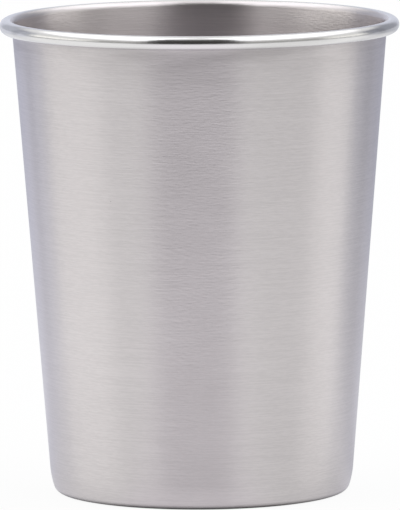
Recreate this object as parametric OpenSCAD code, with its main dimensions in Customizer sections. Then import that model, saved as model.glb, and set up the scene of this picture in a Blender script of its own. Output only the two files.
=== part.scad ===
// Tapered drinking cup, drawn from one sheet of steel and rolled outward over a wire at the rim.
// The cup stands on the plane z = 0, with its axis along Z. All lengths are in millimetres.

/* [Overall] */
// Outside diameter over the rolled rim
rim_d = 90; // [80:0.5:100]
// Height from the table to the top of the rim
height = 107.2; // [95:0.1:120]
// Lean of the wall away from upright, in degrees
wall_lean = 4.57; // [3:0.01:6]
// Thickness of the sheet
sheet_t = 0.45; // [0.35:0.05:0.6]

/* [Rolled rim] */
// Diameter of the wire inside the roll
wire_d = 2.1; // [1.6:0.1:2.6]
// Clearance between the wire and the sheet that is rolled over it
wire_clearance = 0.1; // [0.05:0.05:0.15]
// Gap between the tucked-in edge of the sheet and the wall
tuck_gap = 0.2; // [0.1:0.05:0.4]

/* [Foot] */
// Outside radius of the gentle curve in which the wall starts to turn under
flank_r = 20; // [12:0.5:30]
// Slope, in degrees from upright, at which the gentle curve gives way to the heel
heel_slope = 17.3; // [12:0.1:24]
// Outside radius of the heel, the tight bend onto the base
heel_r = 2; // [1.5:0.1:3]

/* [Base] */
// Width of the flat ring that the cup stands on
stand_w = 4; // [2:0.5:6]
// Height of the pressed-up centre above the table
recess_h = 1; // [0.6:0.1:1.5]
// Inside radius of the two bends in the step up to the centre
step_r = 1.5; // [1.2:0.1:2.5]

/* [Hidden] */
$fa = 3;
$fs = 0.2;

// Lengths of sheet run this far into each other, so that they join as one
lap = 0.05;

// Every bend of the sheet is named by the radius of its outer face.
// The profile is drawn with X as the distance from the cup's axis and Y as the height.

// The roll's outer face is the cup's inner face, carried round over the wire.
roll_r = wire_d / 2 + wire_clearance + sheet_t;
roll_c = [rim_d / 2 - roll_r, height - roll_r];

// Angle left open at the end of the roll, so that the sheet's edge stops short of the wall
tuck_angle = acos((roll_r - sheet_t - tuck_gap) / roll_r);

// Directions square to the wall's outer face, and up along it
wall_out = [cos(wall_lean), -sin(wall_lean)];
wall_up = [sin(wall_lean), cos(wall_lean)];

// Distance of the wall's outer face from the origin of the profile, measured square to the wall
wall_offset = roll_c * wall_out - (roll_r - sheet_t);

// The heel touches the table and the flank touches the wall's outer face.
// They share a tangent at heel_slope, which settles how far out the heel lies.
heel_reach = wall_offset - flank_r + heel_r * sin(wall_lean)
  - (heel_r - flank_r) * cos(heel_slope - wall_lean);
heel_c = [heel_reach / cos(wall_lean), heel_r];
flank_c = heel_c + polar(heel_r - flank_r, -heel_slope);

// Length of the straight wall, from the start of the roll down to the flank
wall_length = (roll_c - flank_c) * wall_up;

// The step in the base is two equal and opposite bends.
step_outer_r = step_r + sheet_t;
step_angle = acos(1 - recess_h / (step_r + step_outer_r));
step_low_c = [heel_c.x - stand_w, step_outer_r];
step_high_c = step_low_c + polar(step_r + step_outer_r, -90 - step_angle);

function polar(r, angle) = [r * cos(angle), r * sin(angle)];

// A wedge about the origin, wide enough to hold a circle of radius r between two angles.
module wedge(r, from, to) {
  steps = ceil((to - from) / 60);
  reach = 1.5 * r;
  rim_points = [for (i = [0:steps]) polar(reach, from + (to - from) * i / steps)];
  polygon(concat([[0, 0]], rim_points));
}

// Sheet bent about the origin, from one angle to another, with its outer face at radius r.
// Both ends run on by the lap into the sheet that carries on from there.
module bent_sheet(r, from, to) {
  lap_angle = atan(lap / r);
  intersection() {
    difference() {
      circle(r);
      circle(r - sheet_t);
    }
    wedge(r, from - lap_angle, to + lap_angle);
  }
}

// The rolled rim and the straight wall, which runs into the roll without a break.
module rim_and_wall_profile() {
  translate(roll_c) {
    rotate(-wall_lean) {
      bent_sheet(roll_r, tuck_angle - 180, 180);
      translate([-roll_r, -wall_length])
        square([sheet_t, wall_length]);
    }
  }
}

// The foot: the gentle flank, then the heel.
module foot_profile() {
  translate(flank_c)
    bent_sheet(flank_r, -heel_slope, -wall_lean);
  translate(heel_c)
    bent_sheet(heel_r, -90, -heel_slope);
}

// The base: the ring that stands on the table, the step and the raised centre.
module base_profile() {
  translate([step_low_c.x, 0])
    square([stand_w, sheet_t]);
  translate(step_low_c)
    bent_sheet(step_outer_r, -90 - step_angle, -90);
  translate(step_high_c)
    bent_sheet(step_outer_r, 90 - step_angle, 90);
  translate([0, recess_h])
    square([step_high_c.x, sheet_t]);
}

// The whole cup is one sheet.
module cup_shell() {
  color("#b7b4b5")
    rotate_extrude() {
      rim_and_wall_profile();
      foot_profile();
      base_profile();
    }
}

// The hoop that the rim is rolled over.
module rim_wire() {
  color("#9c9a98")
    rotate_extrude()
      translate(roll_c)
        circle(d = wire_d);
}

cup_shell();
rim_wire();
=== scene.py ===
import math
from collections import namedtuple

import bmesh
import bpy
from bpy.props import FloatProperty, FloatVectorProperty, IntProperty, PointerProperty
from mathutils import Matrix, Vector


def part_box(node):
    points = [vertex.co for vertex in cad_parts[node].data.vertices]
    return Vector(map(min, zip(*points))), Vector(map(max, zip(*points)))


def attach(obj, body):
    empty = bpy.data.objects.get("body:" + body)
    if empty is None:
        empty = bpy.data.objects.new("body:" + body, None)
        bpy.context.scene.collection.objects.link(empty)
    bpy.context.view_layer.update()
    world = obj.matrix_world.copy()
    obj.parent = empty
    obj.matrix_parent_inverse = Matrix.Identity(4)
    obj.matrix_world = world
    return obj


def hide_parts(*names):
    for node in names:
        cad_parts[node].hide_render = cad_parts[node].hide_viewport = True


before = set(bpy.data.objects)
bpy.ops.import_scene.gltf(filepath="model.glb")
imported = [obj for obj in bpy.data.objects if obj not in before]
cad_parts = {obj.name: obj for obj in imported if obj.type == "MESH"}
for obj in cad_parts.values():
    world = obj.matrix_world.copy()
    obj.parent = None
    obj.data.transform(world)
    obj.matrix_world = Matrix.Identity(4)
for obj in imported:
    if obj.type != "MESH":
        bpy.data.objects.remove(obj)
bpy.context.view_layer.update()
SHELL_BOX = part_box("cup_shell")
WIRE_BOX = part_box("rim_wire")

bl_info = {
    "name": "Steel Cup",
    "version": (1, 0, 0),
    "blender": (4, 5, 0),
    "location": "View3D > Sidebar > Cup",
    "description": "Dresses a plain steel cup with a rolled rim and sets it in a white studio",
    "category": "Object",
}

# The photograph's frame in pixels, which the lens is worked out from.
FRAME_WIDTH = 400
FRAME_HEIGHT = 510

# Names that the mesh and the materials share.
RUN_ATTRIBUTE = "sheet_run"
ZONES = ("underside", "outside", "rim", "inside")
BAKE_MAP = "OFBake"

# In how many lengths each stretch of the sheet's outline is drawn.
BASE_STEPS = 10
BEND_STEPS = 6
RING_STEPS = 3
HEEL_STEPS = 16
INNER_HEEL_STEPS = 10
FLANK_STEPS = 10
INNER_FLANK_STEPS = 8
WALL_STEPS = 24
ROLL_STEPS = 48
INNER_ROLL_STEPS = 28
LIP_STEPS = 8

# How a face of the sheet is brushed: how far highlights stretch across the grain, how much the colour and
# the roughness change along it, how large the smears on it are, and the seed of its marks.
Brushing = namedtuple("Brushing", "stretch contrast spread smear seed")
WALL_BRUSHING = Brushing(stretch=0.92, contrast=0.05, spread=0.03, smear=0.02, seed=1.0)
RIM_BRUSHING = Brushing(stretch=0.85, contrast=0.01, spread=0.03, smear=0.006, seed=2.0)
INSIDE_BRUSHING = Brushing(stretch=0.7, contrast=0.05, spread=0.04, smear=0.015, seed=3.0)
BASE_BRUSHING = Brushing(stretch=0.85, contrast=0.06, spread=0.06, smear=0.01, seed=4.0)

# Colours of the light.
WHITE = (1.0, 1.0, 1.0)
WARM = (1.00, 0.995, 0.95)
DAYLIGHT = (0.96, 0.97, 1.00)
COOL = (0.86, 0.89, 1.00)
PALE = (0.985, 0.99, 0.98)
LILAC = (0.99, 0.97, 1.00)

# Parts of the light tent and the floor round the cup, in degrees. The azimuth counts from the camera's side
# to the right. A part reaches as far as its spread to each side of it, and fades out from its softness
# inside that end to its softness beyond.
TentPart = namedtuple("TentPart", "azimuth spread softness")
OPENING = TentPart(azimuth=-4, spread=23, softness=16)
LEFT_SIDE = TentPart(azimuth=-91, spread=18, softness=18)
RIGHT_SIDE = TentPart(azimuth=98, spread=14, softness=14)
BACK = TentPart(azimuth=179, spread=66, softness=11)
FRONT_FLOOR = TentPart(azimuth=0, spread=25, softness=24)
RIGHT_FLOOR = TentPart(azimuth=58, spread=20, softness=14)
PAPER = TentPart(azimuth=180, spread=15, softness=8)
LEFT_SEAM = TentPart(azimuth=-133, spread=4, softness=3)
RIGHT_SEAM = TentPart(azimuth=131, spread=5, softness=3)
LEFT_WING = TentPart(azimuth=-96, spread=63, softness=2)
RIGHT_WING = TentPart(azimuth=90, spread=65, softness=2)

# The opening widens and brightens upward, by these shares of the height.
OPENING_FLARE = 0.04
OPENING_GLOW = 0.09

# Elevations in degrees between which the sides and the back fade out, the roof and the wings fade in,
# and the opening closes.
SIDES_END = (2, 30)
BACK_END = (18, 36)
ROOF_START = (8, 40)
WINGS_START = (34, 42)
OPENING_END = (60, 70)


class CupSizes(bpy.types.PropertyGroup):
    """Sizes of the sheet that the cup is drawn from."""

    rim_radius: FloatProperty(
        name="Rim radius",
        description="Outer radius over the rolled rim",
        default=min(SHELL_BOX[1].x, SHELL_BOX[1].y),
        unit="LENGTH",
    )
    height: FloatProperty(
        name="Height",
        description="Height from the table to the top of the rim",
        default=SHELL_BOX[1].z,
        unit="LENGTH",
    )
    wire_radius: FloatProperty(
        name="Wire radius",
        description="Radius of the wire inside the rolled rim",
        default=(WIRE_BOX[1].z - WIRE_BOX[0].z) / 2,
        unit="LENGTH",
    )
    wire_clearance: FloatProperty(
        name="Wire clearance",
        description="Clearance between the wire and the sheet rolled over it",
        default=0.0001,
        unit="LENGTH",
    )
    sheet: FloatProperty(
        name="Sheet thickness",
        description="Thickness of the steel sheet",
        default=0.00045,
        unit="LENGTH",
    )
    tuck_gap: FloatProperty(
        name="Tuck gap",
        description="Gap between the tucked-in edge of the sheet and the wall",
        default=0.0002,
        unit="LENGTH",
    )
    wall_lean: FloatProperty(
        name="Wall lean",
        description="Lean of the wall away from upright",
        default=math.radians(4.57),
        subtype="ANGLE",
    )
    lip_turn: FloatProperty(
        name="Lip turn",
        description="How far over the roll the brushed inside reaches before the polish starts",
        default=math.radians(55),
        subtype="ANGLE",
    )
    flank_radius: FloatProperty(
        name="Flank radius",
        description="Outer radius of the gentle curve in which the wall starts to turn under",
        default=0.020,
        unit="LENGTH",
    )
    heel_slope: FloatProperty(
        name="Heel slope",
        description="Slope at which the gentle curve gives way to the heel",
        default=math.radians(17.3),
        subtype="ANGLE",
    )
    heel_radius: FloatProperty(
        name="Heel radius",
        description="Outer radius of the tight bend onto the base",
        default=0.002,
        unit="LENGTH",
    )
    stand_width: FloatProperty(
        name="Stand width",
        description="Width of the flat ring that the cup stands on",
        default=0.004,
        unit="LENGTH",
    )
    recess: FloatProperty(
        name="Recess",
        description="Height of the pressed-up centre of the base",
        default=0.001,
        unit="LENGTH",
    )
    step_radius: FloatProperty(
        name="Step radius",
        description="Inner radius of the two bends in the step up to the centre",
        default=0.0015,
        unit="LENGTH",
    )
    segments: IntProperty(
        name="Segments",
        description="Faces round the cup",
        default=288,
    )


class SteelFinish(bpy.types.PropertyGroup):
    """Colours and textures of the steel."""

    wall_colour: FloatVectorProperty(
        name="Wall colour",
        description="Colour of the brushed wall",
        default=(0.680, 0.645, 0.655),
        subtype="COLOR",
    )
    rim_colour: FloatVectorProperty(
        name="Rim colour",
        description="Colour of the polished rim",
        default=(0.745, 0.735, 0.738),
        subtype="COLOR",
    )
    inside_colour: FloatVectorProperty(
        name="Inside colour",
        description="Colour of the brushed inside",
        default=(0.715, 0.673, 0.682),
        subtype="COLOR",
    )
    base_colour: FloatVectorProperty(
        name="Base colour",
        description="Colour of the turned underside",
        default=(0.620, 0.595, 0.600),
        subtype="COLOR",
    )
    wire_colour: FloatVectorProperty(
        name="Wire colour",
        description="Colour of the drawn wire",
        default=(0.450, 0.440, 0.430),
        subtype="COLOR",
    )
    wall_roughness: FloatProperty(
        name="Wall roughness",
        description="Roughness of the brushed wall",
        default=0.31,
        subtype="FACTOR",
    )
    coarse_rise: FloatProperty(
        name="Coarse rise",
        description="How much rougher the wall is right under the rim, where the brush can't lie flat",
        default=0.09,
        subtype="FACTOR",
    )
    coarse_reach: FloatProperty(
        name="Coarse reach",
        description="How far down from the rim the coarser brushing reaches",
        default=0.011,
        unit="LENGTH",
    )
    rim_roughness: FloatProperty(
        name="Rim roughness",
        description="Roughness of the polished rim",
        default=0.16,
        subtype="FACTOR",
    )
    inside_roughness: FloatProperty(
        name="Inside roughness",
        description="Roughness of the brushed inside",
        default=0.33,
        subtype="FACTOR",
    )
    base_roughness: FloatProperty(
        name="Base roughness",
        description="Roughness of the turned underside",
        default=0.34,
        subtype="FACTOR",
    )
    grain_pitch: FloatProperty(
        name="Grain pitch",
        description="Width of one brush stroke",
        default=0.00034,
        unit="LENGTH",
    )
    grain_run: FloatProperty(
        name="Grain run",
        description="Length of one brush stroke round the cup",
        default=0.0020,
        unit="LENGTH",
    )
    grain_depth: FloatProperty(
        name="Grain depth",
        description="Depth of the brush strokes",
        default=0.00004,
        unit="LENGTH",
    )


class StudioSetup(bpy.types.PropertyGroup):
    """Camera, light tent and floor."""

    camera_distance: FloatProperty(
        name="Camera distance",
        description="Distance from the camera to the cup's axis",
        default=2.3,
        unit="LENGTH",
    )
    camera_pitch: FloatProperty(
        name="Camera pitch",
        description="How far the camera looks down",
        default=math.radians(6.778),
        subtype="ANGLE",
    )
    camera_roll: FloatProperty(
        name="Camera roll",
        description="Tilt of the camera about its line of sight",
        default=math.radians(-0.309),
        subtype="ANGLE",
    )
    focal_pixels: FloatProperty(
        name="Focal length in pixels",
        description="Focal length in pixels of the photograph's frame",
        default=10192.7,
    )
    aim_height: FloatProperty(
        name="Aim height",
        description="Height of the point that the camera looks at",
        default=0.05342,
        unit="LENGTH",
    )
    aim_side: FloatProperty(
        name="Aim side",
        description="Sideways offset of the camera from the cup's axis",
        default=-0.00014,
        unit="LENGTH",
    )
    left_side_level: FloatProperty(
        name="Left side",
        description="Brightness of the tent's left side, above that of the rest",
        default=0.95,
    )
    right_side_level: FloatProperty(
        name="Right side",
        description="Brightness of the tent's right side, above that of the rest",
        default=0.80,
    )
    left_wing_level: FloatProperty(
        name="Left wing",
        description="Brightness of the tent's raised left panel, above that of its roof",
        default=0.7,
    )
    right_wing_level: FloatProperty(
        name="Right wing",
        description="Brightness of the tent's raised right panel, above that of its roof",
        default=0.75,
    )
    roof_level: FloatProperty(
        name="Roof",
        description="Brightness of the tent's roof, above that of the rest",
        default=0.52,
    )
    opening_level: FloatProperty(
        name="Opening",
        description="Brightness of the dim room in front of the tent",
        default=0.02,
    )
    back_left_level: FloatProperty(
        name="Left back",
        description="Brightness of the tent and the floor behind the cup, on the left",
        default=0.80,
    )
    back_right_level: FloatProperty(
        name="Right back",
        description="Brightness of the tent and the floor behind the cup, on the right",
        default=0.51,
    )
    back_cloth: FloatProperty(
        name="Back cloth",
        description="Brightness of the tent behind the cup, as a share of that of the floor there",
        default=0.78,
        subtype="FACTOR",
    )
    paper_level: FloatProperty(
        name="Paper",
        description="Brightness of the paper right behind the cup, above that of the tent's back",
        default=0.3,
    )
    seam_shade: FloatProperty(
        name="Seam shade",
        description="How much darker the tent's two seams behind the cup are",
        default=0.2,
        subtype="FACTOR",
    )
    backdrop_level: FloatProperty(
        name="Tent",
        description="Brightness of the tent all round, apart from its back and its opening",
        default=0.45,
    )
    floor_glow: FloatProperty(
        name="Floor glow",
        description="Brightness of the lit floor, as the steel mirrors it",
        default=1.08,
    )
    floor_colour: FloatVectorProperty(
        name="Floor colour",
        description="Colour of the floor",
        default=(0.88, 0.88, 0.88),
        subtype="COLOR",
    )
    camera_share: FloatProperty(
        name="Camera share",
        description="How far the camera sees the floor as plain white, with the rest left to its shadows",
        default=0.93,
        subtype="FACTOR",
    )
    mirror_share: FloatProperty(
        name="Mirror share",
        description="How far the steel mirrors the floor as evenly lit, with the rest left to its shadows",
        default=0.8,
        subtype="FACTOR",
    )


class CupSettings(bpy.types.PropertyGroup):
    """All settings of the cup."""

    sizes: PointerProperty(type=CupSizes)
    finish: PointerProperty(type=SteelFinish)
    studio: PointerProperty(type=StudioSetup)


def settings():
    """The cup's settings in the open scene."""
    return bpy.context.scene.steel_cup


# Outline of the sheet, drawn as radius and height.


def polar(radius, angle):
    """A point at a radius and an angle."""
    return Vector((radius * math.cos(angle), radius * math.sin(angle)))


def arc(centre, radius, start, end, steps):
    """Points on an arc, both ends included."""
    return [centre + polar(radius, start + (end - start) * i / steps) for i in range(steps + 1)]


def line(start, end, steps):
    """Points on a straight line, both ends included."""
    return [start.lerp(end, i / steps) for i in range(steps + 1)]


def sheet_outline(sizes):
    """The outline of the sheet, as one list of points for each zone. It runs from the middle of the
    underside out and up, round the rim and down the inside."""
    down = -math.pi / 2
    up = math.pi / 2
    lean = sizes.wall_lean
    slope = sizes.heel_slope
    sheet = sizes.sheet
    roll_r = sizes.wire_radius + sizes.wire_clearance + sheet
    roll_c = Vector((sizes.rim_radius - roll_r, sizes.height - roll_r))
    roll_start = math.pi - lean
    tuck_angle = math.acos((roll_r - sheet - sizes.tuck_gap) / roll_r)
    roll_end = tuck_angle - math.pi - lean
    lip = roll_start - sizes.lip_turn

    wall_out = polar(1, -lean)
    wall_offset = roll_c.dot(wall_out) - (roll_r - sheet)
    heel_r = sizes.heel_radius
    flank_r = sizes.flank_radius
    heel_reach = (
        wall_offset - flank_r + heel_r * math.sin(lean) - (heel_r - flank_r) * math.cos(slope - lean)
    )
    heel_c = Vector((heel_reach / math.cos(lean), heel_r))
    flank_c = heel_c + polar(heel_r - flank_r, -slope)

    step_in = sizes.step_radius
    step_out = step_in + sheet
    step_angle = math.acos(1 - sizes.recess / (step_in + step_out))
    low_c = Vector((heel_c.x - sizes.stand_width, step_out))
    high_c = low_c + polar(step_in + step_out, down - step_angle)

    underside = (
        line(Vector((0, sizes.recess)), Vector((high_c.x, sizes.recess)), BASE_STEPS)
        + arc(high_c, step_in, up, up - step_angle, BEND_STEPS)
        + arc(low_c, step_out, down - step_angle, down, BEND_STEPS)
        + line(Vector((low_c.x, 0)), Vector((heel_c.x, 0)), RING_STEPS)
    )
    outside = (
        arc(heel_c, heel_r, down, -slope, HEEL_STEPS)
        + arc(flank_c, flank_r, -slope, -lean, FLANK_STEPS)
        + line(flank_c + flank_r * wall_out, roll_c - (roll_r - sheet) * wall_out, WALL_STEPS)
    )
    rim = (
        arc(roll_c, roll_r - sheet, roll_start, roll_end, INNER_ROLL_STEPS)
        + arc(roll_c, roll_r, roll_end, lip, ROLL_STEPS)
    )
    inside = (
        arc(roll_c, roll_r, lip, roll_start, LIP_STEPS)
        + line(roll_c - roll_r * wall_out, flank_c + (flank_r - sheet) * wall_out, WALL_STEPS)
        + arc(flank_c, flank_r - sheet, -lean, -slope, INNER_FLANK_STEPS)
        + arc(heel_c, heel_r - sheet, -slope, down, INNER_HEEL_STEPS)
        + line(Vector((heel_c.x, sheet)), Vector((low_c.x, sheet)), RING_STEPS)
        + arc(low_c, step_in, down, down - step_angle, BEND_STEPS)
        + arc(high_c, step_out, up - step_angle, up, BEND_STEPS)
        + line(Vector((high_c.x, sizes.recess + sheet)), Vector((0, sizes.recess + sheet)), BASE_STEPS)
    )
    return {"underside": underside, "outside": outside, "rim": rim, "inside": inside}


def joined_outline(parts):
    """One list of points with the doubled ones left out, and the zone of each step from point to point."""
    same_point = 1e-7
    points = []
    zones = []
    for zone in ZONES:
        for point in parts[zone]:
            if points and (point - points[-1]).length < same_point:
                continue
            if points:
                zones.append(ZONES.index(zone))
            points.append(point)
    return points, zones


def lathe(name, points, zones, segments):
    """A mesh turned about Z. Each vertex keeps how far along the sheet it lies.
    The bake map is the sheet unrolled: turn across, run up, with its seam at the back."""
    on_axis = 1e-6
    margin = 0.004
    shape = bmesh.new()
    run_layer = shape.verts.layers.float.new(RUN_ATTRIBUTE)
    bake_layer = shape.loops.layers.uv.new(BAKE_MAP)
    runs = [0.0]
    for before, after in zip(points, points[1:]):
        runs.append(runs[-1] + (after - before).length)
    rings = []
    for point, run in zip(points, runs):
        ring = []
        for j in range(segments if point.x > on_axis else 1):
            turn = math.pi / 2 + 2 * math.pi * j / segments
            vert = shape.verts.new((point.x * math.cos(turn), point.x * math.sin(turn), point.y))
            vert[run_layer] = run
            ring.append(vert)
        rings.append(ring)

    def bake_spot(j, i):
        """The place of a vertex in the bake map; one on the axis lies midway across its face."""
        across = 0.5 if len(rings[i]) == 1 else 0.0
        spread = 1 - 2 * margin
        return (margin + spread * (j + across) / segments, margin + spread * runs[i] / runs[-1])

    for i, zone in enumerate(zones):
        for j in range(segments):
            corners = {}
            for turn, row in ((j, i), (j + 1, i), (j + 1, i + 1), (j, i + 1)):
                vert = rings[row][turn % len(rings[row])]
                corners.setdefault(vert, bake_spot(j if len(rings[row]) == 1 else turn, row))
            face = shape.faces.new(corners)
            face.material_index = zone
            face.smooth = True
            for loop in face.loops:
                loop[bake_layer].uv = corners[loop.vert]
    bmesh.ops.recalc_face_normals(shape, faces=shape.faces)
    mesh = bpy.data.meshes.new(name)
    shape.to_mesh(mesh)
    shape.free()
    return mesh


# Small helpers for shader nodes.


def new_node(tree, kind, **values):
    """A node with its properties set."""
    made = tree.nodes.new(kind)
    for key, value in values.items():
        setattr(made, key, value)
    return made


def connect(tree, value, socket):
    """Links a socket to an input, or sets the input to a number or colour."""
    if isinstance(value, bpy.types.NodeSocket):
        tree.links.new(value, socket)
    else:
        socket.default_value = value


def math_node(tree, operation, *inputs):
    """A Math node; each input is a socket or a number."""
    made = new_node(tree, "ShaderNodeMath", operation=operation)
    for value, socket in zip(inputs, made.inputs):
        connect(tree, value, socket)
    return made.outputs[0]


def map_range(tree, value, from_low, from_high, to_low, to_high):
    """A clamped, smooth step from one range to another."""
    made = new_node(tree, "ShaderNodeMapRange", interpolation_type="SMOOTHSTEP", clamp=True)
    named = {
        "Value": value,
        "From Min": from_low,
        "From Max": from_high,
        "To Min": to_low,
        "To Max": to_high,
    }
    for name, number in named.items():
        connect(tree, number, made.inputs[name])
    return made.outputs["Result"]


def mix_colours(tree, factor, first, second):
    """A mix of two colours; each is a socket or a colour."""
    made = new_node(tree, "ShaderNodeMix", data_type="RGBA")
    # Sockets for colours share their names with those for numbers, so they are taken by their places.
    factor_socket, first_socket, second_socket = made.inputs[0], made.inputs[6], made.inputs[7]
    connect(tree, factor, factor_socket)
    connect(tree, first, first_socket)
    connect(tree, second, second_socket)
    return made.outputs[2]


def split_place(tree):
    """The X, Y and Z of a point on the piece."""
    place = new_node(tree, "ShaderNodeTexCoord")
    parts = new_node(tree, "ShaderNodeSeparateXYZ")
    tree.links.new(place.outputs["Object"], parts.inputs[0])
    return parts.outputs["X"], parts.outputs["Y"], parts.outputs["Z"]


def joined_place(tree, x, y, z):
    """A point or colour from its three parts."""
    made = new_node(tree, "ShaderNodeCombineXYZ")
    for value, socket in zip((x, y, z), made.inputs):
        connect(tree, value, socket)
    return made.outputs[0]


def level_direction(tree, x, y):
    """The direction of a place from the cup's axis, with its height left out."""
    level = new_node(tree, "ShaderNodeVectorMath", operation="NORMALIZE")
    tree.links.new(joined_place(tree, x, y, 0.0), level.inputs[0])
    return level.outputs[0]


def new_group(name, inputs, outputs):
    """An empty shader node group with named float sockets: the tree, its input node and its output node."""
    tree = bpy.data.node_groups.new(name, "ShaderNodeTree")
    for label, default in inputs:
        socket = tree.interface.new_socket(label, in_out="INPUT", socket_type="NodeSocketFloat")
        socket.default_value = default
    for label in outputs:
        tree.interface.new_socket(label, in_out="OUTPUT", socket_type="NodeSocketFloat")
    return tree, tree.nodes.new("NodeGroupInput"), tree.nodes.new("NodeGroupOutput")


def place_group(tree, group, **values):
    """A group node; underscores in a name stand for spaces."""
    made = new_node(tree, "ShaderNodeGroup", node_tree=group)
    for key, value in values.items():
        connect(tree, value, made.inputs[key.replace("_", " ")])
    return made.outputs


def group_of(name, build):
    """A node group, built the first time that it is asked for."""
    return bpy.data.node_groups.get(name) or build(name)


def turned_grain_group(name):
    """Brush marks that run round the cup's axis.
    Strokes are short and close together, Lines are long and fine, Passes are broad and faint."""
    tree, given, result = new_group(
        name,
        (("Pitch", 0.0003), ("Run", 0.003), ("Radius", 0.04), ("Seed", 0.0)),
        ("Strokes", "Lines", "Passes"),
    )
    x, y, _ = split_place(tree)
    direction = new_node(tree, "ShaderNodeSeparateXYZ")
    tree.links.new(level_direction(tree, x, y), direction.inputs[0])
    sheet_run = new_node(tree, "ShaderNodeAttribute", attribute_name=RUN_ATTRIBUTE).outputs["Fac"]
    turns = math_node(tree, "DIVIDE", given.outputs["Radius"], given.outputs["Run"])
    rows = math_node(tree, "DIVIDE", sheet_run, given.outputs["Pitch"])

    def marks(wider, longer, detail, seed):
        """Marks that are this many times as wide and as long as a stroke."""
        along = math_node(tree, "DIVIDE", turns, longer)
        spot = joined_place(
            tree,
            math_node(tree, "MULTIPLY", direction.outputs["X"], along),
            math_node(tree, "MULTIPLY", direction.outputs["Y"], along),
            math_node(tree, "DIVIDE", rows, wider),
        )
        noise = new_node(tree, "ShaderNodeTexNoise", noise_dimensions="4D")
        tree.links.new(spot, noise.inputs["Vector"])
        tree.links.new(math_node(tree, "ADD", given.outputs["Seed"], seed), noise.inputs["W"])
        noise.inputs["Scale"].default_value = 1.0
        noise.inputs["Detail"].default_value = detail
        return noise.outputs["Fac"]

    tree.links.new(marks(wider=1.0, longer=1.0, detail=2.0, seed=0.0), result.inputs["Strokes"])
    tree.links.new(marks(wider=0.6, longer=7.0, detail=1.0, seed=17.0), result.inputs["Lines"])
    tree.links.new(marks(wider=7.0, longer=9.0, detail=2.0, seed=31.0), result.inputs["Passes"])
    return tree


def handling_group(name):
    """Marks of use: cloudy smears and sparse specks."""
    smear_detail = 3.0
    speck_edge = (0.012, 0.024)
    tree, given, result = new_group(
        name,
        (("Smear size", 0.02), ("Speck spacing", 0.012), ("Seed", 0.0)),
        ("Smears", "Specks"),
    )
    place = joined_place(tree, *split_place(tree))
    smears = new_node(tree, "ShaderNodeTexNoise", noise_dimensions="4D")
    tree.links.new(place, smears.inputs["Vector"])
    tree.links.new(math_node(tree, "DIVIDE", 1.0, given.outputs["Smear size"]), smears.inputs["Scale"])
    tree.links.new(given.outputs["Seed"], smears.inputs["W"])
    smears.inputs["Detail"].default_value = smear_detail
    tree.links.new(smears.outputs["Fac"], result.inputs["Smears"])
    cells = new_node(tree, "ShaderNodeTexVoronoi", voronoi_dimensions="4D")
    tree.links.new(place, cells.inputs["Vector"])
    tree.links.new(math_node(tree, "DIVIDE", 1.0, given.outputs["Speck spacing"]), cells.inputs["Scale"])
    tree.links.new(given.outputs["Seed"], cells.inputs["W"])
    tree.links.new(map_range(tree, cells.outputs["Distance"], *speck_edge, 1.0, 0.0), result.inputs["Specks"])
    return tree


# Finishes of the steel.


def shade(colour, factor):
    """A colour made darker or lighter, with its alpha."""
    return (colour[0] * factor, colour[1] * factor, colour[2] * factor, 1.0)


def steel(name, stretch):
    """A steel material, its tree and its shader. The grain runs round Z, so highlights stretch across it."""
    quarter_turn = 0.25
    material = bpy.data.materials.new(name)
    material.use_nodes = True
    tree = material.node_tree
    shader = tree.nodes["Principled BSDF"]
    shader.inputs["Metallic"].default_value = 1.0
    shader.inputs["Anisotropic"].default_value = stretch
    shader.inputs["Anisotropic Rotation"].default_value = quarter_turn
    tangent = new_node(tree, "ShaderNodeTangent", direction_type="RADIAL", axis="Z")
    tree.links.new(tangent.outputs[0], shader.inputs["Tangent"])
    return material, tree, shader


def relief(tree, shader, height, depth):
    """Shades the surface as if it rose by up to the depth, where the height goes from 0 to 1."""
    bump = new_node(tree, "ShaderNodeBump")
    bump.inputs["Distance"].default_value = depth
    tree.links.new(height, bump.inputs["Height"])
    tree.links.new(bump.outputs["Normal"], shader.inputs["Normal"])


def brushed_colour(tree, lines, worn, colour, contrast, streaks="Passes"):
    """The steel's colour, a little lighter and darker along the lines and streaks, with dark specks."""
    mark_range = (0.7, 1.3)
    speck_shade = 0.6
    tone = math_node(tree, "ADD", lines[streaks], lines["Lines"])
    tint = mix_colours(
        tree,
        map_range(tree, tone, *mark_range, 0.0, 1.0),
        shade(colour, 1 - contrast),
        shade(colour, 1 + contrast),
    )
    return mix_colours(tree, worn["Specks"], tint, shade(colour, speck_shade))


def worn_roughness(tree, lines, worn, roughness, spread):
    """Roughness that changes with the brush strokes and the smears."""
    mark_range = (0.6, 1.4)
    matt = math_node(tree, "ADD", lines["Strokes"], worn["Smears"])
    return map_range(tree, matt, *mark_range, roughness - spread, roughness + spread)


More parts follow.
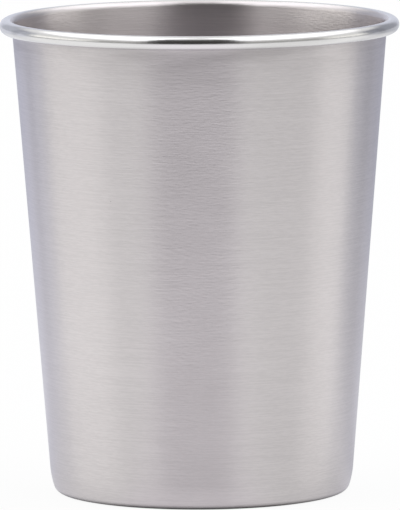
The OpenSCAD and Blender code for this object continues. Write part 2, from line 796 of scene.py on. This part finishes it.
def brushed_wall(finish, sizes, grain, handling):
    """Steel brushed round the cup, coarser in a patchy band right under the rim."""
    brushing = WALL_BRUSHING
    edge_tint = (0.85, 0.85, 0.90, 1.0)
    pass_range = (0.35, 0.65)
    patchy = (0.4, 1.6)
    material, tree, shader = steel("brushed_wall", brushing.stretch)
    shader.inputs["Specular Tint"].default_value = edge_tint
    lines = place_group(tree, grain, Pitch=finish.grain_pitch, Run=finish.grain_run, Seed=brushing.seed)
    worn = place_group(tree, handling, Smear_size=brushing.smear, Seed=brushing.seed)
    colour = brushed_colour(tree, lines, worn, finish.wall_colour, brushing.contrast, streaks="Strokes")
    tree.links.new(colour, shader.inputs["Base Color"])
    _, _, height = split_place(tree)
    under_rim = sizes.height - 2 * (sizes.wire_radius + sizes.wire_clearance + sizes.sheet)
    coarse = map_range(tree, height, under_rim - finish.coarse_reach, under_rim, 0.0, finish.coarse_rise)
    coarse = math_node(tree, "MULTIPLY", coarse, map_range(tree, lines["Passes"], *pass_range, *patchy))
    rough = worn_roughness(tree, lines, worn, finish.wall_roughness, brushing.spread)
    tree.links.new(math_node(tree, "ADD", rough, coarse), shader.inputs["Roughness"])
    relief(tree, shader, lines["Strokes"], finish.grain_depth)
    return material


def polished_rim(finish, grain, handling):
    """Steel polished along the rolled rim, with hairlines and closer specks."""
    brushing = RIM_BRUSHING
    hairline = 0.5 * finish.grain_pitch
    hairline_run = 4 * finish.grain_run
    speck_spacing = 0.008
    smear_depth = 2 * finish.grain_depth
    material, tree, shader = steel("polished_rim", brushing.stretch)
    lines = place_group(tree, grain, Pitch=hairline, Run=hairline_run, Seed=brushing.seed)
    worn = place_group(
        tree, handling, Smear_size=brushing.smear, Speck_spacing=speck_spacing, Seed=brushing.seed
    )
    colour = brushed_colour(tree, lines, worn, finish.rim_colour, brushing.contrast)
    tree.links.new(colour, shader.inputs["Base Color"])
    rough = worn_roughness(tree, lines, worn, finish.rim_roughness, brushing.spread)
    tree.links.new(rough, shader.inputs["Roughness"])
    relief(tree, shader, worn["Smears"], smear_depth)
    return material


def brushed_inside(finish, grain, handling):
    """Steel brushed round the inside, softer than the wall."""
    brushing = INSIDE_BRUSHING
    material, tree, shader = steel("brushed_inside", brushing.stretch)
    lines = place_group(tree, grain, Pitch=finish.grain_pitch, Run=finish.grain_run, Seed=brushing.seed)
    worn = place_group(tree, handling, Smear_size=brushing.smear, Seed=brushing.seed)
    colour = brushed_colour(tree, lines, worn, finish.inside_colour, brushing.contrast)
    tree.links.new(colour, shader.inputs["Base Color"])
    rough = worn_roughness(tree, lines, worn, finish.inside_roughness, brushing.spread)
    tree.links.new(rough, shader.inputs["Roughness"])
    relief(tree, shader, lines["Strokes"], finish.grain_depth)
    return material


def turned_base(finish, sizes, grain, handling):
    """Turned steel whose standing ring is scuffed where it meets the table."""
    brushing = BASE_BRUSHING
    turning = 1.5 * finish.grain_pitch
    turning_run = 3 * finish.grain_run
    turning_depth = 2 * finish.grain_depth
    scuff_size = 0.0012
    scuff_seed = 6.0
    scuff_range = (0.42, 0.62)
    scuff_shade = 0.72
    scuff_rise = 0.15
    ring_height = 0.2 * sizes.recess
    material, tree, shader = steel("turned_base", brushing.stretch)
    lines = place_group(tree, grain, Pitch=turning, Run=turning_run, Seed=brushing.seed)
    worn = place_group(tree, handling, Smear_size=brushing.smear, Seed=brushing.seed)
    scuffs = place_group(tree, handling, Smear_size=scuff_size, Seed=scuff_seed)
    _, _, height = split_place(tree)
    standing = map_range(tree, height, 0.0, ring_height, 1.0, 0.0)
    scuffed = map_range(tree, scuffs["Smears"], *scuff_range, 0.0, 1.0)
    scuffed = math_node(tree, "MULTIPLY", standing, scuffed)
    colour = brushed_colour(tree, lines, worn, finish.base_colour, brushing.contrast)
    colour = mix_colours(tree, scuffed, colour, shade(finish.base_colour, scuff_shade))
    tree.links.new(colour, shader.inputs["Base Color"])
    rough = worn_roughness(tree, lines, worn, finish.base_roughness, brushing.spread)
    rough = math_node(tree, "ADD", rough, math_node(tree, "MULTIPLY", scuffed, scuff_rise))
    tree.links.new(rough, shader.inputs["Roughness"])
    relief(tree, shader, lines["Strokes"], turning_depth)
    return material


def drawn_wire(finish, handling):
    """Plain wire, dull and cloudy from the drawing."""
    stretch = 0.3
    smear_size = 0.004
    seed = 5.0
    dark_smear = 0.85
    light_smear = 1.1
    smear_range = (0.3, 0.7)
    roughness = (0.35, 0.5)
    material, tree, shader = steel("drawn_wire", stretch)
    worn = place_group(tree, handling, Smear_size=smear_size, Seed=seed)
    dark = shade(finish.wire_colour, dark_smear)
    light = shade(finish.wire_colour, light_smear)
    tree.links.new(mix_colours(tree, worn["Smears"], dark, light), shader.inputs["Base Color"])
    tree.links.new(map_range(tree, worn["Smears"], *smear_range, *roughness), shader.inputs["Roughness"])
    return material


class STEELCUP_OT_shell(bpy.types.Operator):
    """Make the cup's sheet and finish its wall, rim, inside and underside"""

    bl_idname = "steel_cup.shell"
    bl_label = "Cup shell"

    def execute(self, context):
        sizes = settings().sizes
        finish = settings().finish
        points, zones = joined_outline(sheet_outline(sizes))
        mesh = lathe("dressed_shell", points, zones, sizes.segments)
        grain = group_of("Turned grain", turned_grain_group)
        handling = group_of("Handling marks", handling_group)
        finishes = {
            "underside": turned_base(finish, sizes, grain, handling),
            "outside": brushed_wall(finish, sizes, grain, handling),
            "rim": polished_rim(finish, grain, handling),
            "inside": brushed_inside(finish, grain, handling),
        }
        for zone in ZONES:
            mesh.materials.append(finishes[zone])
        shell = bpy.data.objects.new("dressed_shell", mesh)
        context.scene.collection.objects.link(shell)
        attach(shell, "root")
        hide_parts("cup_shell")
        return {"FINISHED"}


class STEELCUP_OT_wire(bpy.types.Operator):
    """Finish the wire inside the rolled rim"""

    bl_idname = "steel_cup.wire"
    bl_label = "Rim wire"

    def execute(self, context):
        handling = group_of("Handling marks", handling_group)
        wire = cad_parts["rim_wire"]
        wire.data.materials.clear()
        wire.data.materials.append(drawn_wire(settings().finish, handling))
        return {"FINISHED"}


# The studio.


def look_at(place, target):
    """Rotation of a camera that looks from one point at another."""
    return (Vector(target) - Vector(place)).to_track_quat("-Z", "Y").to_matrix()


def towards(azimuth):
    """The level direction from the cup at an azimuth in degrees, counted from the camera's side."""
    turn = math.radians(azimuth)
    return Vector((math.sin(turn), -math.cos(turn), 0.0))


def within(tree, level, part, strength, flare=0.0):
    """The strength within a part of the tent or floor, for a level direction from the cup."""
    facing = new_node(tree, "ShaderNodeVectorMath", operation="DOT_PRODUCT")
    tree.links.new(level, facing.inputs[0])
    facing.inputs[1].default_value = towards(part.azimuth)
    outer = math.cos(math.radians(part.spread + part.softness))
    inner = math.cos(math.radians(part.spread - part.softness))
    widened = math_node(tree, "ADD", facing.outputs["Value"], flare)
    return map_range(tree, widened, outer, inner, 0.0, strength)


def left_and_right(tree, level, left, left_strength, right, right_strength):
    """The strengths of two parts of the tent, added up."""
    on_left = within(tree, level, left, left_strength)
    return math_node(tree, "ADD", on_left, within(tree, level, right, right_strength))


def cool_back(tree, level, studio):
    """The share of the cool back in a level direction, and its brightness there, with two darker seams."""
    # The brightness changes from left to right between directions that point this far to each side.
    aside = 0.7
    sideways = new_node(tree, "ShaderNodeSeparateXYZ")
    tree.links.new(level, sideways.inputs[0])
    tone = map_range(
        tree, sideways.outputs["X"], -aside, aside, studio.back_left_level, studio.back_right_level
    )
    seams = left_and_right(tree, level, LEFT_SEAM, studio.seam_shade, RIGHT_SEAM, studio.seam_shade)
    tone = math_node(tree, "MULTIPLY", tone, math_node(tree, "SUBTRACT", 1.0, seams))
    return within(tree, level, BACK, 1.0), tone


def tent_glows(tree, studio):
    """The tent's light: a colour and a strength for its back, for its low parts and for its high parts."""
    place = new_node(tree, "ShaderNodeTexCoord")
    parts = new_node(tree, "ShaderNodeSeparateXYZ")
    tree.links.new(place.outputs["Generated"], parts.inputs[0])
    height = parts.outputs["Z"]
    level = level_direction(tree, parts.outputs["X"], parts.outputs["Y"])

    def above(elevations, low, high):
        """A change from low to high between two elevations."""
        start, end = (math.sin(math.radians(angle)) for angle in elevations)
        return map_range(tree, height, start, end, low, high)

    def apart_from(share, strength, rest=0.0):
        """The strength, giving way to the rest by a share."""
        return map_range(tree, share, 0.0, 1.0, strength, rest)

    flare = math_node(tree, "MULTIPLY", height, OPENING_FLARE)
    opened = within(tree, level, OPENING, 1.0, flare)
    opened = math_node(tree, "MULTIPLY", opened, above(OPENING_END, 1.0, 0.0))
    room = math_node(tree, "MULTIPLY_ADD", height, OPENING_GLOW, studio.opening_level)

    behind, tone = cool_back(tree, level, studio)
    behind = math_node(tree, "MULTIPLY", behind, above(BACK_END, 1.0, 0.0))
    tone = math_node(tree, "MULTIPLY", tone, studio.back_cloth)
    tone = math_node(tree, "ADD", tone, within(tree, level, PAPER, studio.paper_level))
    back = math_node(tree, "MULTIPLY", behind, tone)

    cloth = apart_from(behind, apart_from(opened, studio.backdrop_level, room))
    sides = left_and_right(
        tree, level, LEFT_SIDE, studio.left_side_level, RIGHT_SIDE, studio.right_side_level
    )
    sides = apart_from(behind, math_node(tree, "MULTIPLY", sides, above(SIDES_END, 1.0, 0.0)))
    low = math_node(tree, "ADD", cloth, sides)

    roof = apart_from(behind, apart_from(opened, above(ROOF_START, 0.0, studio.roof_level)))
    wings = left_and_right(
        tree, level, LEFT_WING, studio.left_wing_level, RIGHT_WING, studio.right_wing_level
    )
    wings = math_node(tree, "MULTIPLY", wings, above(WINGS_START, 0.0, 1.0))
    high = math_node(tree, "ADD", roof, wings)
    return (COOL, back), (WARM, low), (DAYLIGHT, high)


def studio_world(studio):
    """A light tent, open in front, with bright sides and raised panels. The camera sees plain white."""
    world = bpy.data.worlds.new("studio")
    world.use_nodes = True
    tree = world.node_tree
    tree.nodes.clear()
    tent = None
    for colour, strength in tent_glows(tree, studio):
        glow = new_node(tree, "ShaderNodeBackground")
        glow.inputs["Color"].default_value = shade(colour, 1.0)
        tree.links.new(strength, glow.inputs["Strength"])
        if tent is None:
            tent = glow.outputs[0]
            continue
        added = new_node(tree, "ShaderNodeAddShader")
        tree.links.new(tent, added.inputs[0])
        tree.links.new(glow.outputs[0], added.inputs[1])
        tent = added.outputs[0]
    white = new_node(tree, "ShaderNodeBackground")
    white.inputs["Color"].default_value = shade(WHITE, 1.0)
    path = new_node(tree, "ShaderNodeLightPath")
    either = new_node(tree, "ShaderNodeMixShader")
    tree.links.new(path.outputs["Is Camera Ray"], either.inputs[0])
    tree.links.new(tent, either.inputs[1])
    tree.links.new(white.outputs[0], either.inputs[2])
    out = new_node(tree, "ShaderNodeOutputWorld")
    tree.links.new(either.outputs[0], out.inputs["Surface"])
    bpy.context.scene.world = world


def seen_share(tree, camera_share, mirror_share):
    """How far the camera and the steel see the floor as evenly lit, and whether the camera is looking."""
    path = new_node(tree, "ShaderNodeLightPath")
    mirrored = math_node(tree, "MAXIMUM", path.outputs["Is Glossy Ray"], path.outputs["Is Transmission Ray"])
    mirrored = math_node(tree, "MULTIPLY", mirrored, mirror_share)
    seen = math_node(tree, "MULTIPLY", path.outputs["Is Camera Ray"], camera_share)
    return math_node(tree, "MAXIMUM", seen, mirrored), path.outputs["Is Camera Ray"]


def floor_light(tree, studio, foot_radius, to_camera):
    """The colour of the lit floor as the steel mirrors it, white to the camera, and how far it is lit at all.
    It is dark under the cup, dimmer near it, far from it, in front and on the right, and cool behind it."""
    # Distances are in metres, reaches from the cup's axis. Shades and levels are shares of the brightness.
    contact_inside = 0.0018
    contact_outside = 0.0004
    seen_contact = 0.0017
    front_contact = 0.0003
    near_width = 0.09
    near_level = 0.82
    far_reach = (0.45, 0.9)
    far_level = 0.2
    front_reach = (0.25, 0.7)
    front_shade = 0.36
    right_shade = 0.11
    back_reach = (0.2, 0.6)
    back_near = 0.38
    x, y, _ = split_place(tree)
    level = level_direction(tree, x, y)
    from_axis = new_node(tree, "ShaderNodeVectorMath", operation="LENGTH")
    tree.links.new(joined_place(tree, x, y, 0.0), from_axis.inputs[0])
    away = from_axis.outputs["Value"]

    reach = math_node(tree, "MULTIPLY_ADD", to_camera, seen_contact, away)
    reach = math_node(tree, "SUBTRACT", reach, within(tree, level, FRONT_FLOOR, front_contact))
    lit = map_range(tree, reach, foot_radius - contact_inside, foot_radius + contact_outside, 0.0, 1.0)

    front = map_range(tree, away, *front_reach, 0.0, front_shade)
    front = math_node(tree, "MULTIPLY", front, within(tree, level, FRONT_FLOOR, 1.0))
    dimmed = math_node(tree, "ADD", front, within(tree, level, RIGHT_FLOOR, right_shade))
    pool = map_range(tree, away, *far_reach, studio.floor_glow, far_level)
    near = map_range(tree, away, foot_radius, foot_radius + near_width, near_level, 1.0)
    pool = math_node(tree, "MULTIPLY", pool, near)
    pool = math_node(tree, "MULTIPLY", pool, math_node(tree, "SUBTRACT", 1.0, dimmed))
    tint = mix_colours(tree, within(tree, level, OPENING, 1.0), shade(PALE, 1.0), shade(LILAC, 1.0))
    tinted = new_node(tree, "ShaderNodeVectorMath", operation="SCALE")
    tree.links.new(tint, tinted.inputs[0])
    tree.links.new(pool, tinted.inputs["Scale"])

    behind, tone = cool_back(tree, level, studio)
    behind = math_node(tree, "MULTIPLY", behind, map_range(tree, away, *back_reach, back_near, 1.0))
    back = joined_place(tree, *(math_node(tree, "MULTIPLY", tone, part) for part in COOL))
    mirrored = mix_colours(tree, behind, tinted.outputs["Vector"], back)
    return mix_colours(tree, to_camera, mirrored, shade(WHITE, 1.0)), lit


def floor_paper(studio, foot_radius):
    """Pale paper, seen as plain white apart from its shadows."""
    material = bpy.data.materials.new("floor_paper")
    material.use_nodes = True
    tree = material.node_tree
    tree.nodes.clear()
    paper = new_node(tree, "ShaderNodeBsdfDiffuse")
    paper.inputs["Color"].default_value = shade(studio.floor_colour, 1.0)
    share, to_camera = seen_share(tree, studio.camera_share, studio.mirror_share)
    colour, lit = floor_light(tree, studio, foot_radius, to_camera)
    glow = new_node(tree, "ShaderNodeEmission")
    tree.links.new(colour, glow.inputs["Color"])
    tree.links.new(lit, glow.inputs["Strength"])
    either = new_node(tree, "ShaderNodeMixShader")
    tree.links.new(share, either.inputs[0])
    tree.links.new(paper.outputs[0], either.inputs[1])
    tree.links.new(glow.outputs[0], either.inputs[2])
    out = new_node(tree, "ShaderNodeOutputMaterial")
    tree.links.new(either.outputs[0], out.inputs["Surface"])
    return material


def studio_floor(studio, foot_radius):
    """A wide floor just under the cup."""
    half_width = 4.0
    floor_height = -0.00005
    mesh = bpy.data.meshes.new("floor")
    corners = [
        (half_width * across, half_width * along, floor_height)
        for across, along in ((-1, -1), (1, -1), (1, 1), (-1, 1))
    ]
    mesh.from_pydata(corners, [], [(0, 1, 2, 3)])
    mesh.materials.append(floor_paper(studio, foot_radius))
    floor = bpy.data.objects.new("floor", mesh)
    bpy.context.scene.collection.objects.link(floor)


def studio_camera(studio):
    """The camera, far away with a long lens."""
    far_end = 20
    data = bpy.data.cameras.new("camera")
    data.lens = studio.focal_pixels / max(FRAME_WIDTH, FRAME_HEIGHT) * data.sensor_width
    data.clip_end = far_end
    camera = bpy.data.objects.new("camera", data)
    bpy.context.scene.collection.objects.link(camera)
    aim = Vector((studio.aim_side, 0, studio.aim_height))
    back = Vector((0, -math.cos(studio.camera_pitch), math.sin(studio.camera_pitch)))
    place = aim + studio.camera_distance * back
    turn = look_at(place, aim) @ Matrix.Rotation(studio.camera_roll, 3, "Z")
    camera.matrix_world = Matrix.Translation(place) @ turn.to_4x4()
    bpy.context.scene.camera = camera


class STEELCUP_OT_stage(bpy.types.Operator):
    """Set the camera, the light tent and the floor"""

    bl_idname = "steel_cup.stage"
    bl_label = "Studio"

    def execute(self, context):
        studio = settings().studio
        sizes = settings().sizes
        heel_start = sheet_outline(sizes)["outside"][0]
        foot_radius = heel_start.x + sizes.heel_radius
        studio_camera(studio)
        studio_world(studio)
        studio_floor(studio, foot_radius)
        context.scene.view_settings.view_transform = "Standard"
        return {"FINISHED"}


class STEELCUP_PT_panel(bpy.types.Panel):
    """Lists the cup's pieces and their settings"""

    bl_idname = "STEELCUP_PT_panel"
    bl_label = "Steel Cup"
    bl_space_type = "VIEW_3D"
    bl_region_type = "UI"
    bl_category = "Cup"

    def draw(self, context):
        cup = context.scene.steel_cup
        for operator, group in (
            (STEELCUP_OT_shell, cup.sizes),
            (STEELCUP_OT_wire, cup.finish),
            (STEELCUP_OT_stage, cup.studio),
        ):
            box = self.layout.box()
            box.operator(operator.bl_idname)
            for name in group.__annotations__:
                box.prop(group, name)


CLASSES = (
    CupSizes,
    SteelFinish,
    StudioSetup,
    CupSettings,
    STEELCUP_OT_shell,
    STEELCUP_OT_wire,
    STEELCUP_OT_stage,
    STEELCUP_PT_panel,
)


def register():
    """Makes the settings, operators and panel known to Blender."""
    for cls in CLASSES:
        bpy.utils.register_class(cls)
    bpy.types.Scene.steel_cup = PointerProperty(type=CupSettings)


def unregister():
    """Takes them out again."""
    del bpy.types.Scene.steel_cup
    for cls in reversed(CLASSES):
        bpy.utils.unregister_class(cls)


def main():
    """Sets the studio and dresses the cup."""
    register()
    bpy.ops.steel_cup.stage()
    bpy.ops.steel_cup.shell()
    bpy.ops.steel_cup.wire()


if __name__ == "__main__":
    main()
